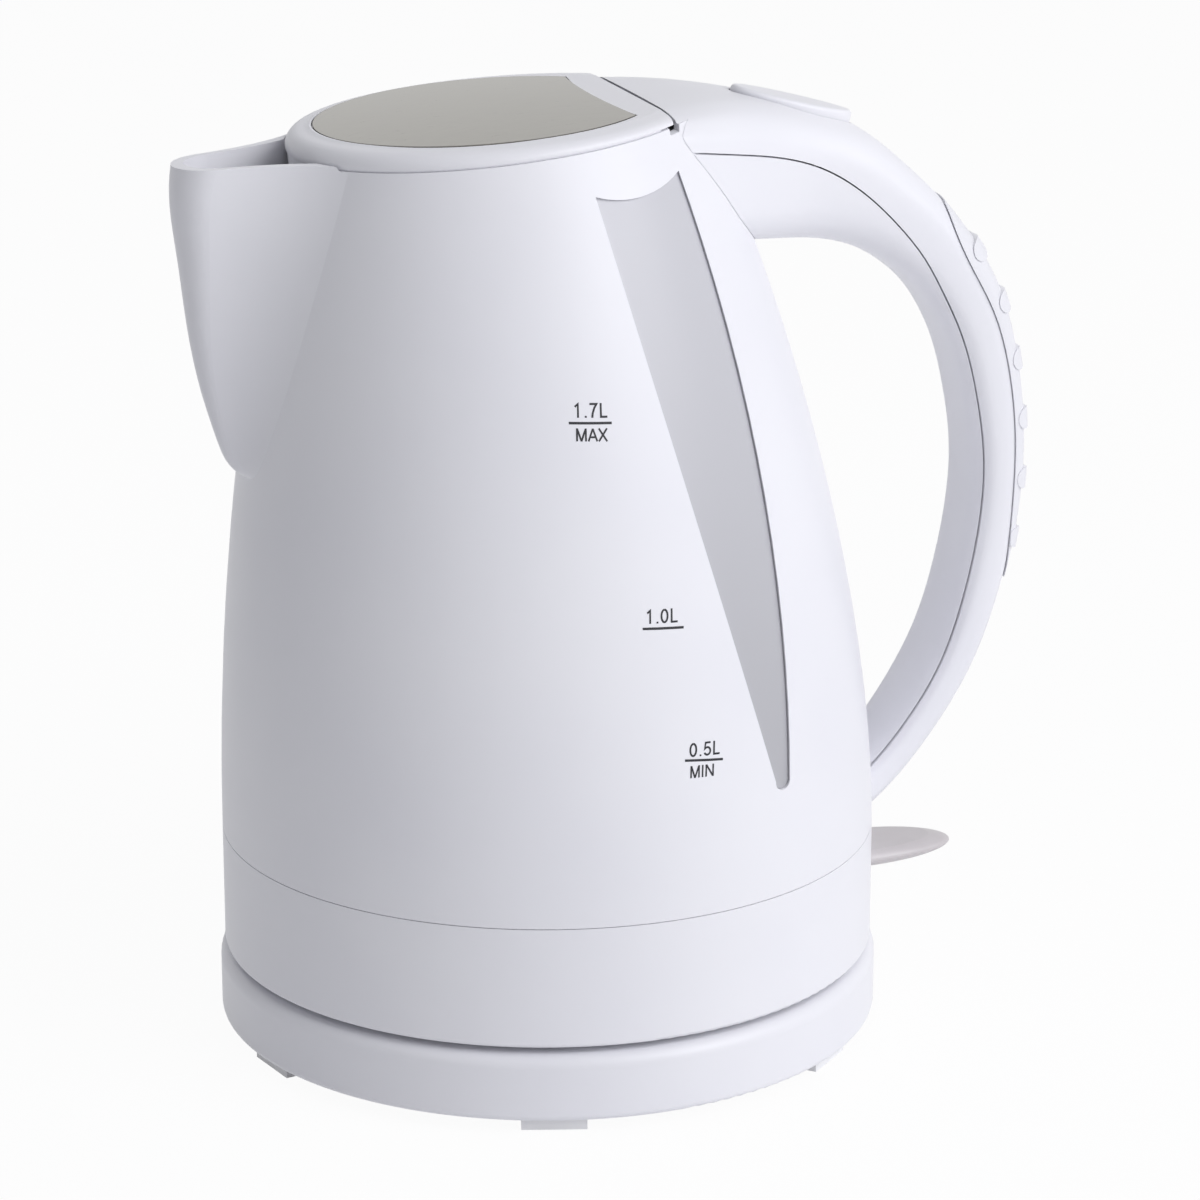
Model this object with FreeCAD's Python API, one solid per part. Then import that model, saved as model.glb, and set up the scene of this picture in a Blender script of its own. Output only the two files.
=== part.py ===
import FreeCAD, Part
import math
import os
from FreeCAD import Placement, Rotation, Vector

os.makedirs("parts", exist_ok=True)

# Electric jug kettle on a round power base. Millimetres, +Z up, spout towards -X and handle
# towards +X. The origin is the centre of the base on the surface it stands on.

# Fits and common walls
RUN_GAP = 0.4        # pieces that move past each other
SEAT_GAP = 0.1       # pieces fixed to each other
PIN_PLAY = 0.05      # radial, pin in its bore
SEAM_GAP = 0.4       # visible joint lines
PAST = 4.0           # how far a cutting shape runs past the piece it cuts
SEW = 1e-5           # faces closer than this are joined
SCREW_R = 1.5
SCREW_HEAD_R = 3.0
SCREW_HEAD_H = 1.8
SCREW_TIP_GAP = 1.0  # bore left free below the tip of a screw
BOSS_R = 4.2

# Power base
BASE_R = 78.7
BASE_TOP_Z = 18.9
BASE_EDGE = 3.0
BASE_LOWER_EDGE = 1.6
BASE_WALL = 2.4
FOOT_H = 3.0
FOOT_COUNT = 6
FOOT_FIRST_DEG = 13.0
FOOT_EDGE = 3.1
FOOT_DEPTH = 6.6
FOOT_WIDTH = 15.0
PLATE_Z = 3.3
PLATE_T = 2.4
BASE_SCREW_R = 55.0
BASE_SCREW_DEGS = (43.0, 163.0, 283.0)
CORD_DEG = 103.0
CORD_Z = 10.0
CORD_BORE_R = 3.6
GLAND_R = 5.4
GLAND_FLANGE_R = 5.8
GLAND_LENGTH = 10.3
REST_RING_R = 64.0
REST_RING_WIDTH = 4.0

# 360 degree connector
TOWER_R = 12.0
TOWER_TOP_Z = 33.0
TOWER_EDGE = 1.2
TOWER_FLANGE_R = 18.0
TOWER_FLANGE_T = 2.4
SLOT_FLOOR_Z = 22.0
SLOTS = ((4.4, 6.9), (8.0, 10.5))
CONTACT_T = 0.6
CONTACT_TOP_Z = 31.5
CENTRE_HOLE_R = 2.9
CENTRE_PIN_R = 1.4
PRONG_R = 0.45
PRONG_LOW_Z = 25.0
SOCKET_R = 19.5
SOCKET_FLANGE_R = 23.0
SOCKET_FLANGE_T = 2.0
SOCKET_TOP_Z = 37.0

# Jug: oval sections that taper, lean forward and tilt on the way up to the neck
KETTLE_Z = 20.6
SEAM_Z = 49.2
BODY_SEAM = 0.2
BAND_R = 77.6
BAND_EDGE = 0.9
BAND_WALL = 2.4
NECK_LONG_R = 48.0
NECK_SIDE_R = 43.0
NECK_X = -12.5
NECK_Z = 216.8
NECK_TILT = 5.6
TAPER_POWER = 1.8
LEAN_POWER = 1.6
JUG_WALL = 2.6
JUG_STEPS = 8
HOUSING_S = -0.125   # continues the jug straight down behind the foot of the handle
HOLLOW_S = (-0.05, 1.05)
LOOP_POINTS = 28
SKIRT_T = 2.7
SKIRT_LOW_Z = 42.0
LEDGE_REACH = 5.5
LEDGE_Z = 51.2
LEDGE_T = 2.0
JUG_SCREW_EDGE = 11.6
JUG_SCREW_DEGS = (60.0, 180.0, 300.0)
JUG_BOSS_LOW_Z = 36.0
SCREW_SEAT_Z = 31.0

# Beak spout
SPOUT_FOOT_S = 0.545
BEAK = 27.7
BEAK_POWER = 0.65
BEAK_STEPS = (0.0, 0.05, 0.14, 0.3, 0.5, 0.75, 1.0, 1.12)
BEAK_TIP_R = 9.5
BEAK_FOOT_R = 2.6
BEAK_NOSE_MAX_DEG = 60.0
BEAK_HALF = 13.0
BEAK_BLEND_DEG = 34.0
BEAK_SINK = 1.4
BEAK_BACK = 30.0
BEAK_WALL = 2.2
BEAK_RIM_TILT = 2.8
BEAK_RIM_RISE = 1.3
BEAK_ROOT_RISE = 2.0
BEAK_WIDEN_POWER = 0.5
BEAK_BLEND_START = 0.05
BEAK_TIP_WALL = 1.6     # wall at the tip, its rounding and its root, as shares of the inset
BEAK_ROUND_WALL = 0.6
BEAK_ROOT_WALL = 1.5

# Water windows, outline seen from the side: (x, z)
WINDOW_TOP = ((-3.2, 208.4), (8.0, 207.3), (19.5, 211.1))
WINDOW_REAR_MID = (33.0, 147.0)
WINDOW_FRONT_MID = (9.9, 154.0)
WINDOW_TIP = ((36.1, 75.9), (33.9, 73.9), (31.9, 76.2))
WINDOW_RECESS = 0.8
WINDOW_LAP = 3.0
WINDOW_LAP_T = 1.0

# Heating plate and control
SEAL_T = 0.8
SEAL_SETBACK = 1.0
HEAT_PLATE_T = 1.2
HEAT_PLATE_GAP = 0.8
SPREADER_R = 53.0
SPREADER_T = 1.9
ELEMENT_R = 43.0
ELEMENT_TUBE_R = 3.3
ELEMENT_SWEEP_DEG = 300.0
STUD_R = 2.0
STUD_Y = 30.0
STUD_LOW_Z = 39.0
NUT_R = 3.7
NUT_T = 2.4
CONTROL_R = 24.5
CONTROL_TOP_Z = 45.6
EAR_T = 3.0
OVERHEAT_R = 5.0
OVERHEAT_AT = ((-12.0, -8.0), (-12.0, 8.0))
DISC_T = 0.6
STEAM_DISC_R = 6.0
STEAM_DISC_BACK = 14.0
TUBE_R = 4.5
TUBE_BORE_R = 3.3
TUBE_TOP_X = 28.0
TUBE_Y = 14.0
TUBE_FOOT_BACK = 4.0
TUBE_FOOT_Z = 48.0

# Switch paddle
SWITCH_INSIDE = 13.6
SWITCH_Z = 30.8
SWITCH_PIN_R = 1.2
SWITCH_HUB_R = 3.6
SWITCH_HALF = 7.6
SWITCH_ARM_T = 3.2
PADDLE_REACH = 26.4
PADDLE_HALF = 10.0
PADDLE_T = 4.2
PADDLE_DOME = 3.4
PADDLE_ROOT = 1.5
SWITCH_TRAVEL_DEG = 12.0
SWITCH_EAR_T = 3.0
SWITCH_EAR_HALF_X = 5.0
ARM_LOW_Z = 39.0

# Lid, in the tilted frame of the neck: u to the rear, v to the side, w up
LID_RISE = 0.4
LID_RINGS = ((0.3, 0.4), (0.35, 1.5), (1.2, 2.9), (3.2, 4.0), (6.2, 4.6))
LID_TOP_W = 4.6
LID_TOP_U = -30.0     # from here the top of the lid falls to the rear
LID_TOP_FALL = 2.0
LID_REAR_U = 32.8
LID_REAR_GAP = 0.8
LID_HOLLOW = 7.0
LID_HOLLOW_W = 1.0
LID_HOLLOW_REAR_U = 22.0
STEEL_U = -1.9
STEEL_LONG_R = 39.0
STEEL_SIDE_R = 36.5
STEEL_REAR_U = 24.0
STEEL_ARC_R = 156.0
STEEL_RIM = 0.4
STEEL_T = 1.0
STEEL_DOME = 1.1
PLUG_SIDE = 1.7
PLUG_LOW_W = -10.0
PLUG_REAR_U = 26.0
PLUG_WALL = 1.5
SEAL_TOP_W = -1.2
SEAL_HEIGHT = 1.8
SEAL_PROUD = 1.0

# Lid hinge and catch
HINGE_U = 31.6
HINGE_W = 0.2
HINGE_PIN_R = 0.8
HINGE_PIN_HALF = 22.0
KNUCKLE_R = 1.5
KNUCKLE_V = (6.0, 12.0)
HINGE_EAR_V = (12.4, 15.4)
HINGE_EAR_R = 1.15
SPRING_WIRE = 0.6
COIL_ROWS = 12
COIL_POINTS = 8
LID_SPRING_R = 1.1
LID_SPRING_WIRE = 0.4
LID_SPRING_V = (16.0, 21.0)
LID_SPRING_PITCH = 1.2
NOTCH_V = 26.0
DECK_X = 15.4
DECK_LOW_Z = 199.0
DECK_T = 2.0
LUG_U = (28.9, 31.0)
LUG_HALF = 5.0
LUG_LOW_W = -16.4
LUG_ROOT = 1.0

# Handle sections: outer point, inner point, half width, squareness, share outside the seam
HANDLE = (
    ((14.0, 222.4), (19.0, 196.0), 33.0, 5.0, 0.28),
    ((26.0, 222.6), (29.0, 192.0), 30.3, 4.6, 0.30),
    ((38.0, 222.2), (40.0, 189.0), 24.5, 3.8, 0.33),
    ((50.0, 220.4), (51.0, 187.3), 19.0, 3.2, 0.35),
    ((63.0, 217.1), (62.0, 186.3), 15.5, 2.9, 0.40),
    ((77.0, 210.8), (72.0, 184.2), 14.0, 2.8, 0.51),
    ((87.5, 202.4), (79.5, 180.8), 13.4, 2.8, 0.60),
    ((96.2, 194.0), (86.6, 175.8), 13.2, 2.8, 0.70),
    ((103.6, 184.8), (92.0, 170.2), 13.0, 2.8, 0.79),
    ((111.0, 172.3), (98.6, 158.5), 13.0, 2.8, 0.84),
    ((116.2, 154.7), (103.0, 143.0), 13.0, 2.8, 0.85),
    ((118.2, 136.0), (105.0, 130.0), 13.0, 2.8, 0.85),
    ((117.1, 115.6), (104.3, 113.5), 13.0, 2.8, 0.85),
    ((113.8, 99.7), (101.3, 98.0), 13.0, 2.8, 0.85),
    ((107.5, 81.3), (95.8, 81.8), 13.0, 2.8, 0.84),
    ((98.5, 65.6), (87.0, 67.0), 12.8, 2.8, 0.84),
    ((88.0, 52.3), (79.0, 57.5), 12.6, 2.8, 0.84),
    ((77.0, 42.5), (68.0, 50.0), 12.4, 2.8, 0.84),
)
HANDLE_WALL = 2.2
HANDLE_OUTSIDE = 20.0
HANDLE_HALF_MAX = 50.0
GRIP_FIRST = 7
GRIP_LAST = 13
GRIP_SHARES = (0.05, 0.29, 0.32, 0.31, 0.32, 0.28, 0.06)
GRIP_END = 0.03
GRIP_GROOVE = 0.2
GRIP_PROUD = 0.5
GRIP_T = 1.2
RIB_COUNT = 6
RIB_START = 15.0
RIB_PITCH = 14.9
RIB_R = 2.6
RIB_PROUD = 1.3

# Lid button and latch
BUTTON_X = 60.5
BUTTON_Z = 218.9
BUTTON_TILT = 14.7
BUTTON_LONG_R = 15.2
BUTTON_SIDE_R = 8.5
BUTTON_H = 5.6
BUTTON_EDGE = 1.0
BUTTON_FLANGE = 0.9
BUTTON_FLANGE_T = 1.0
LATCH_LOW_Z = 203.5
LATCH_T = 3.0
LATCH_HALF = 6.0
LATCH_NOSE_X = 20.6
LATCH_END_X = 66.0
LATCH_TRAVEL = 3.0
LATCH_ROOM = 1.0
WEDGE_X = 61.0
WEDGE_GAP = 0.3
STEM_HALF = 3.0
STEM_FRONT_X = 56.0
STEM_LOW_Z = 204.3
GUIDE_X = 49.0
GUIDE_T = 3.0
GUIDE_HALF = 9.0
BUTTON_SPRING_AT = 12.4
BUTTON_SPRING_R = 2.2
BUTTON_SPRING_LENGTH = 10.0
BUTTON_SPRING_PITCH = 1.9
SPRING_POST_R = 3.0
SPRING_POST_LENGTH = 14.0

# Spout filter
FILTER_LOW_Z = 150.0
FILTER_TOP_Z = 200.0
FILTER_HALF = 18.0
FILTER_FRONT = 3.1
FILTER_T = 1.8
FILTER_BORDER = 4.0
FILTER_BAR = 1.5
MESH_T = 0.4

BAND_IN_R = BAND_R - BAND_WALL
FOOT_R_OUT = BASE_R - FOOT_EDGE
FOOT_R_IN = FOOT_R_OUT - FOOT_DEPTH
SKIRT_R_IN = BAND_IN_R - SEAT_GAP - SKIRT_T
LEDGE_R_IN = BAND_R - JUG_WALL - LEDGE_REACH
JUG_SCREW_R = BAND_R - JUG_SCREW_EDGE
HEAT_PLATE_R = BAND_R - JUG_WALL - HEAT_PLATE_GAP
SWITCH_X = BAND_R - SWITCH_INSIDE
PADDLE_X = BAND_R + SEAM_GAP
TUBE_FOOT_X = SWITCH_X - TUBE_FOOT_BACK
COVER_UNDER_Z = BASE_TOP_Z - BASE_WALL
PLATE_TOP_Z = PLATE_Z + PLATE_T
FLOOR_TOP_Z = KETTLE_Z + BAND_WALL
LEDGE_TOP_Z = LEDGE_Z + LEDGE_T
SEAL_TOP_Z = LEDGE_TOP_Z + SEAL_T
WATER_FLOOR_Z = SEAL_TOP_Z + HEAT_PLATE_T
SPREADER_LOW_Z = SEAL_TOP_Z - SPREADER_T
CONTROL_LOW_Z = SOCKET_TOP_Z + RUN_GAP
DECK_TOP_Z = DECK_LOW_Z + DECK_T
LATCH_TOP_Z = LATCH_LOW_Z + LATCH_T
LID_REAR_W = LID_TOP_W - (LID_REAR_U - LID_TOP_U) * math.tan(math.radians(LID_TOP_FALL))
HINGE_SWEEP_R = math.hypot(LID_REAR_U - HINGE_U, LID_REAR_W - HINGE_W) + RUN_GAP
NOTCH_LOW_W = HINGE_W - math.hypot(LID_REAR_U - HINGE_U, LID_RISE - HINGE_W) - RUN_GAP
NECK = Placement(Vector(NECK_X, 0, NECK_Z), Rotation(Vector(0, 1, 0), -NECK_TILT))
BUTTON = Placement(Vector(BUTTON_X, 0, BUTTON_Z), Rotation(Vector(0, 1, 0), BUTTON_TILT))


def save(name, *solids):
    shape = solids[0] if len(solids) == 1 else Part.makeCompound(list(solids))
    shape.exportStep("parts/%s.step" % name)


def placed(shape, placement):
    return shape.transformed(placement.toMatrix())


def block(x, y, z):
    return Part.makeBox(x[1] - x[0], y[1] - y[0], z[1] - z[0], Vector(x[0], y[0], z[0]))


def rod(radius, start, end):
    return Part.makeCylinder(radius, (end - start).Length, start, end - start)


def disc(radius, low, high, x=0.0, y=0.0):
    return rod(radius, Vector(x, y, low), Vector(x, y, high))


def ring(outer, inner, low, high, x=0.0, y=0.0):
    return disc(outer, low, high, x, y).cut(disc(inner, low - PAST, high + PAST, x, y))


def across(radius, x, z, half):
    return rod(radius, Vector(x, -half, z), Vector(x, half, z))


def polar(radius, degrees, z=0.0):
    angle = math.radians(degrees)
    return Vector(radius * math.cos(angle), radius * math.sin(angle), z)


def edges_at(shape, z):
    return [edge for edge in shape.Edges
            if abs(edge.BoundBox.ZMin - z) < SEAT_GAP and abs(edge.BoundBox.ZMax - z) < SEAT_GAP]


def rounded(shape, z, radius):
    return shape.makeFillet(radius, edges_at(shape, z))


def oval(long_r, side_r, low, high, u=0.0):
    edge = Part.Ellipse(Vector(u, 0, low), long_r, side_r).toShape()
    return Part.Face(Part.Wire(edge)).extrude(Vector(0, 0, high - low))


def skin(rows):
    """Solid through rows of points, each row one closed ring, with flat ends."""
    count = len(rows[0])
    turns = [i / count for i in range(count + 1)]
    middles = [sum(row, Vector()) / count for row in rows]
    steps = [0.0]
    for start, end in zip(middles, middles[1:]):
        steps.append(steps[-1] + (end - start).Length)
    rings = []
    for row in rows:
        curve = Part.BSplineCurve()
        curve.interpolate(Points=row, PeriodicFlag=True, Parameters=turns)
        rings.append(curve)
    columns = []
    for poles in zip(*[curve.getPoles() for curve in rings]):
        curve = Part.BSplineCurve()
        curve.interpolate(Points=list(poles), Parameters=steps)
        columns.append(curve)
    surface = Part.BSplineSurface()
    surface.buildFromPolesMultsKnots(
        [curve.getPoles() for curve in columns],
        rings[0].getMultiplicities(), columns[0].getMultiplicities(),
        rings[0].getKnots(), columns[0].getKnots(),
        True, False, rings[0].Degree, columns[0].Degree)
    side = surface.toShape()
    ends = [Part.Face(Part.Wire(edge)) for edge in side.Edges if edge.isClosed()]
    shell = Part.makeShell([side] + ends)
    shell.sewShape()
    solid = Part.makeSolid(shell)
    solid.fix(SEW, SEW, SEW)
    if solid.Volume < 0:
        solid.reverse()
    return solid


def spline(points):
    curve = Part.BSplineCurve()
    curve.interpolate(points)
    return curve.toShape()


def coil(radius, pitch, height, wire):
    count = round(COIL_ROWS * height / pitch)
    rows = []
    for i in range(count + 1):
        turn = 2 * math.pi * i / COIL_ROWS
        row = []
        for k in range(COIL_POINTS):
            around = 2 * math.pi * k / COIL_POINTS
            reach = radius + wire / 2 * math.cos(around)
            rise = pitch * i / COIL_ROWS + wire / 2 * math.sin(around)
            row.append(Vector(reach * math.cos(turn), reach * math.sin(turn), rise))
        rows.append(row)
    return skin(rows)


def screw(x, y, seat_z, length):
    head = disc(SCREW_HEAD_R, seat_z - SCREW_HEAD_H, seat_z, x, y)
    return head.fuse(disc(SCREW_R, seat_z, seat_z + length, x, y))


def jug_axes(s, inset):
    taper = max(s, 0.0) ** TAPER_POWER
    lean = max(s, 0.0) ** LEAN_POWER
    long_r = BAND_R + (NECK_LONG_R - BAND_R) * taper - inset
    side_r = BAND_R + (NECK_SIDE_R - BAND_R) * taper - inset
    centre = Vector(NECK_X * lean, 0, SEAM_Z + (NECK_Z - SEAM_Z) * s)
    return long_r, side_r, centre, math.radians(NECK_TILT * taper)


def on_section(centre, tilt, u, v):
    return Vector(centre.x + u * math.cos(tilt), v, centre.z + u * math.sin(tilt))


def jug_row(s, inset):
    long_r, side_r, centre, tilt = jug_axes(s, inset)
    turns = [2 * math.pi * i / LOOP_POINTS for i in range(LOOP_POINTS)]
    return [on_section(centre, tilt, long_r * math.cos(t), side_r * math.sin(t)) for t in turns]


def jug_solid(inset, low=0.0, high=1.0):
    levels = [i / JUG_STEPS for i in range(JUG_STEPS + 1)]
    levels = [low] + [s for s in levels if low < s < high] + [high]
    return skin([jug_row(s, inset) for s in levels])


def beak_wire(q, inset):
    s = SPOUT_FOOT_S + (1 - SPOUT_FOOT_S) * q
    long_r, side_r, centre, tilt = jug_axes(s, 0.0)
    reach = BEAK * q ** BEAK_POWER - inset * BEAK_TIP_WALL if q > 0 else -BEAK_SINK
    tip_r = BEAK_FOOT_R + (BEAK_TIP_R - BEAK_FOOT_R) * q - inset * BEAK_ROUND_WALL
    width = tip_r + (BEAK_HALF - inset - tip_r) * min(q, 1.0) ** BEAK_WIDEN_POWER
    blend = math.radians(BEAK_BLEND_DEG) * min(q + BEAK_BLEND_START, 1.0) ** BEAK_WIDEN_POWER
    sink = BEAK_SINK + inset * BEAK_ROOT_WALL

    def at(u, v):
        return on_section(centre, tilt, u, v)

    tip_u = -long_r - reach
    rise = BEAK_ROOT_RISE - inset * BEAK_ROUND_WALL
    root = ((-long_r + sink) * math.cos(blend), (side_r - sink) * math.sin(blend) + rise)
    span = Vector(reach - tip_r, width, 0)
    lean = math.atan2(span.y, span.x) - math.asin(tip_r / span.Length)
    lean = min(lean, math.radians(BEAK_NOSE_MAX_DEG))
    nose = tip_u + tip_r * (1 - math.sin(lean)), tip_r * math.cos(lean)
    left, right = at(nose[0], -nose[1]), at(*nose)
    near, far = at(root[0], -root[1]), at(root[0], root[1])
    sides = []
    for start, end, side in ((right, far, 1), (near, left, -1)):
        curve = Part.BezierCurve()
        curve.setPoles([start, at(-long_r, side * width), end])
        sides.append(curve.toShape())
    back = [at(-BEAK_BACK, root[1]), at(-BEAK_BACK, -root[1])]
    return Part.Wire([
        Part.Arc(left, at(tip_u, 0.0), right).toShape(),
        sides[0],
        Part.makeLine(far, back[0]),
        Part.makeLine(back[0], back[1]),
        Part.makeLine(back[1], near),
        sides[1],
    ])


def beak_solid(inset):
    return Part.makeLoft([beak_wire(q, inset) for q in BEAK_STEPS], True)


def window_face(grow):
    def at(point):
        return Vector(point[0], 0, point[1])

    top = [at(p) for p in WINDOW_TOP]
    tip = [at(p) for p in WINDOW_TIP]
    outline = Part.Wire([
        Part.Arc(top[0], top[1], top[2]).toShape(),
        Part.Arc(top[2], at(WINDOW_REAR_MID), tip[0]).toShape(),
        Part.Arc(tip[0], tip[1], tip[2]).toShape(),
        Part.Arc(tip[2], at(WINDOW_FRONT_MID), top[0]).toShape(),
    ])
    face = Part.Face(outline)
    return face.makeOffset2D(grow) if grow else face


def window_prism(grow, side):
    return window_face(grow).extrude(Vector(0, side * 2 * BAND_R, 0))


def handle_row(section, inset, side_inset):
    outer, inner, half, square, share = section
    start = Vector(outer[0], 0, outer[1])
    depth = Vector(inner[0], 0, inner[1]) - start
    middle = start + depth / 2
    direction = depth / depth.Length
    reach = depth.Length / 2 - inset
    points = []
    for i in range(LOOP_POINTS):
        t = 2 * math.pi * i / LOOP_POINTS
        c, s = math.cos(t), math.sin(t)
        across_by = math.copysign(abs(c) ** (2 / square), c) * (half - side_inset)
        along_by = math.copysign(abs(s) ** (2 / square), s) * reach
        points.append(middle + direction * along_by + Vector(0, across_by, 0))
    return points


def handle_solid(inset):
    return skin([handle_row(section, inset, inset) for section in HANDLE])


def between(first, second, share):
    return tuple(between(a, b, share) if isinstance(a, tuple) else a + (b - a) * share
                 for a, b in zip(first, second))


def handle_side(sections, shares, shift):
    """Everything outside a line drawn along the handle, at a share of its depth."""
    line, outside = [], []
    for (outer, inner, half, square, seam), share in zip(sections, shares):
        start = Vector(outer[0], -HANDLE_HALF_MAX, outer[1])
        depth = Vector(inner[0], -HANDLE_HALF_MAX, inner[1]) - start
        direction = depth / depth.Length
        line.append(start + depth * share + direction * shift)
        outside.append(start - direction * HANDLE_OUTSIDE)
    border = Part.makePolygon(list(reversed(outside))).Edges
    wire = Part.Wire(Part.__sortEdges__(
        [spline(line), Part.makeLine(line[-1], outside[-1])] + border
        + [Part.makeLine(outside[0], line[0])]))
    return Part.Face(wire).extrude(Vector(0, 2 * HANDLE_HALF_MAX, 0))


def power_base():
    cover = disc(BASE_R, FOOT_H, BASE_TOP_Z)
    cover = rounded(rounded(cover, BASE_TOP_Z, BASE_EDGE), FOOT_H, BASE_LOWER_EDGE)
    cover = cover.cut(disc(BASE_R - BASE_WALL, FOOT_H - PAST, COVER_UNDER_Z))
    cover = cover.cut(disc(TOWER_R + SEAT_GAP, COVER_UNDER_Z - PAST, BASE_TOP_Z + PAST))
    rest_z = KETTLE_Z - RUN_GAP
    cover = cover.fuse(ring(REST_RING_R, REST_RING_R - REST_RING_WIDTH, COVER_UNDER_Z, rest_z))
    plate = disc(BASE_R - BASE_WALL - SEAT_GAP, PLATE_Z, PLATE_TOP_Z)
    screws = []
    for degrees in BASE_SCREW_DEGS:
        x, y = polar(BASE_SCREW_R, degrees)[:2]
        cover = cover.fuse(disc(BOSS_R, PLATE_TOP_Z + SEAT_GAP, COVER_UNDER_Z + SEAT_GAP, x, y))
        cover = cover.cut(disc(SCREW_R, PLATE_Z, COVER_UNDER_Z - SEAT_GAP, x, y))
        plate = plate.cut(disc(SCREW_R, PLATE_Z - PAST, PLATE_TOP_Z + PAST, x, y))
        screws.append(screw(x, y, PLATE_Z, COVER_UNDER_Z - PLATE_Z - SCREW_TIP_GAP))
    gland_out = BASE_R - SEAM_GAP
    gland_in = gland_out - GLAND_LENGTH
    gland = rod(GLAND_R, polar(gland_in, CORD_DEG, CORD_Z), polar(gland_out, CORD_DEG, CORD_Z))
    flange_out = BASE_R - BASE_WALL - SEAT_GAP - SEAM_GAP
    gland = gland.fuse(rod(GLAND_FLANGE_R, polar(gland_in, CORD_DEG, CORD_Z),
                           polar(flange_out, CORD_DEG, CORD_Z)))
    gland = gland.cut(rod(CORD_BORE_R, polar(gland_in - PAST, CORD_DEG, CORD_Z),
                          polar(BASE_R + PAST, CORD_DEG, CORD_Z)))
    gland = gland.cut(disc(BASE_R - BASE_WALL, 0, PLATE_TOP_Z))
    cover = cover.cut(rod(GLAND_R + SEAT_GAP, polar(gland_in - PAST, CORD_DEG, CORD_Z),
                          polar(BASE_R + PAST, CORD_DEG, CORD_Z)))
    feet = []
    for i in range(FOOT_COUNT):
        foot = block((FOOT_R_IN, FOOT_R_OUT), (-FOOT_WIDTH / 2, FOOT_WIDTH / 2), (0.0, PLATE_Z))
        foot.rotate(Vector(0, 0, 0), Vector(0, 0, 1), FOOT_FIRST_DEG + 360.0 * i / FOOT_COUNT)
        feet.append(foot)
    save("base_top_cover", cover)
    save("base_bottom_plate", plate)
    save("base_screws", *screws)
    save("base_feet", *feet)
    save("cord_gland", gland)


def connectors():
    flange_low = COVER_UNDER_Z - TOWER_FLANGE_T
    tower = rounded(disc(TOWER_R, flange_low, TOWER_TOP_Z), TOWER_TOP_Z, TOWER_EDGE)
    tower = tower.fuse(disc(TOWER_FLANGE_R, flange_low, COVER_UNDER_Z))
    tower = tower.cut(disc(CENTRE_HOLE_R, SLOT_FLOOR_Z, TOWER_TOP_Z + PAST))
    contacts = [disc(CENTRE_PIN_R, SLOT_FLOOR_Z, CONTACT_TOP_Z)]
    socket_low = KETTLE_Z + RUN_GAP
    cavity_top = TOWER_TOP_Z + RUN_GAP
    socket = disc(SOCKET_R, socket_low, SOCKET_TOP_Z)
    flange_z = FLOOR_TOP_Z + RUN_GAP
    socket = socket.fuse(disc(SOCKET_FLANGE_R, flange_z, flange_z + SOCKET_FLANGE_T))
    socket = socket.cut(disc(TOWER_R + RUN_GAP, socket_low - PAST, cavity_top))
    centre_r = CENTRE_PIN_R + RUN_GAP
    prongs = [ring(centre_r + CONTACT_T, centre_r, PRONG_LOW_Z, cavity_top)]
    for inner, outer in SLOTS:
        tower = tower.cut(ring(outer, inner, SLOT_FLOOR_Z, TOWER_TOP_Z + PAST))
        contact_r = outer - SEAT_GAP
        contacts.append(ring(contact_r, contact_r - CONTACT_T, SLOT_FLOOR_Z, CONTACT_TOP_Z))
        prong_x = inner + RUN_GAP + PRONG_R
        prongs.append(disc(PRONG_R, PRONG_LOW_Z, cavity_top, -prong_x))
    save("base_connector", tower)
    save("base_contacts", *contacts)
    save("kettle_connector", socket)
    save("kettle_contacts", *prongs)


def neck_shape(shape):
    return placed(shape, NECK)


def hinge_rod(radius, half):
    return neck_shape(across(radius, HINGE_U, HINGE_W, half))


def hinge_notch():
    """Room for the rear edge of the lid as it swings down behind the hinge."""
    swing = across(HINGE_SWEEP_R, HINGE_U, HINGE_W, NECK_SIDE_R)
    swing = swing.common(block((HINGE_U - RUN_GAP, HINGE_U + 2 * HINGE_SWEEP_R),
                               (-NECK_SIDE_R, NECK_SIDE_R), (NOTCH_LOW_W, NECK_SIDE_R)))
    return neck_shape(swing.cut(block((0, NECK_SIDE_R), (-NOTCH_V, NOTCH_V), (-PAST * 2, PAST * 2))))


def latch_slot():
    half = LATCH_HALF + LATCH_ROOM
    return block((DECK_X, BAND_R), (-half, half), (LATCH_LOW_Z - LATCH_ROOM, LATCH_TOP_Z + LATCH_ROOM))


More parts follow.
